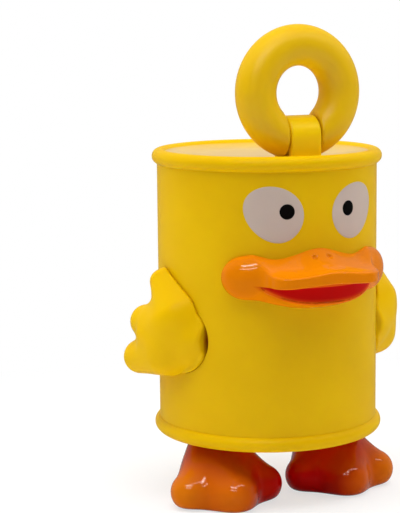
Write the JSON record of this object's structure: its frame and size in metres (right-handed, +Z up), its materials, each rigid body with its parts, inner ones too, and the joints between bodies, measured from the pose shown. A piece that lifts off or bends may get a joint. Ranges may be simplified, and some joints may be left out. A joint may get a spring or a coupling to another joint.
{
  "type": "toy duck",
  "caption": "Can-shaped toy duck with rolled rims, a hinged pull ring on its lid, a wide bill, feathered wings, webbed feet, a pointed tail and a soft stopper in its back.",
  "frame": {"origin": "on the floor under the middle of the duck's box, midway between the bill's tip and the tail's tip", "axes": "+Z up, the duck faces -Y, its left side is +X"},
  "size_m": [0.0946, 0.101, 0.1529],
  "materials": {
    "satin_yellow": "satin moulded plastic",
    "gloss_orange": "glossy moulded plastic",
    "mouth_red": "satin",
    "eye_white": "satin",
    "pupil_black": "satin",
    "milky_plug": "soft translucent vinyl"
  },
  "bodies": {
    "duck": {"can_body": "satin_yellow", "ring_strap": "satin_yellow", "bill": "gloss_orange", "mouth_panel": "mouth_red", "rear_plug": "milky_plug", "left_wing": "satin_yellow", "right_wing": "satin_yellow", "left_foot": "gloss_orange", "right_foot": "gloss_orange", "left_eye": "eye_white", "right_eye": "eye_white", "left_pupil": "pupil_black", "right_pupil": "pupil_black"},
    "ring": {"pull_ring": "satin_yellow"}
  },
  "joints": [
    {"name": "ring_hinge", "type": "hinge", "parent": "duck", "child": "ring", "pos_m": [0, -0.02535, 0.1171], "axis": [1, 0, 0], "range_deg": [-90, 75]}
  ]
}
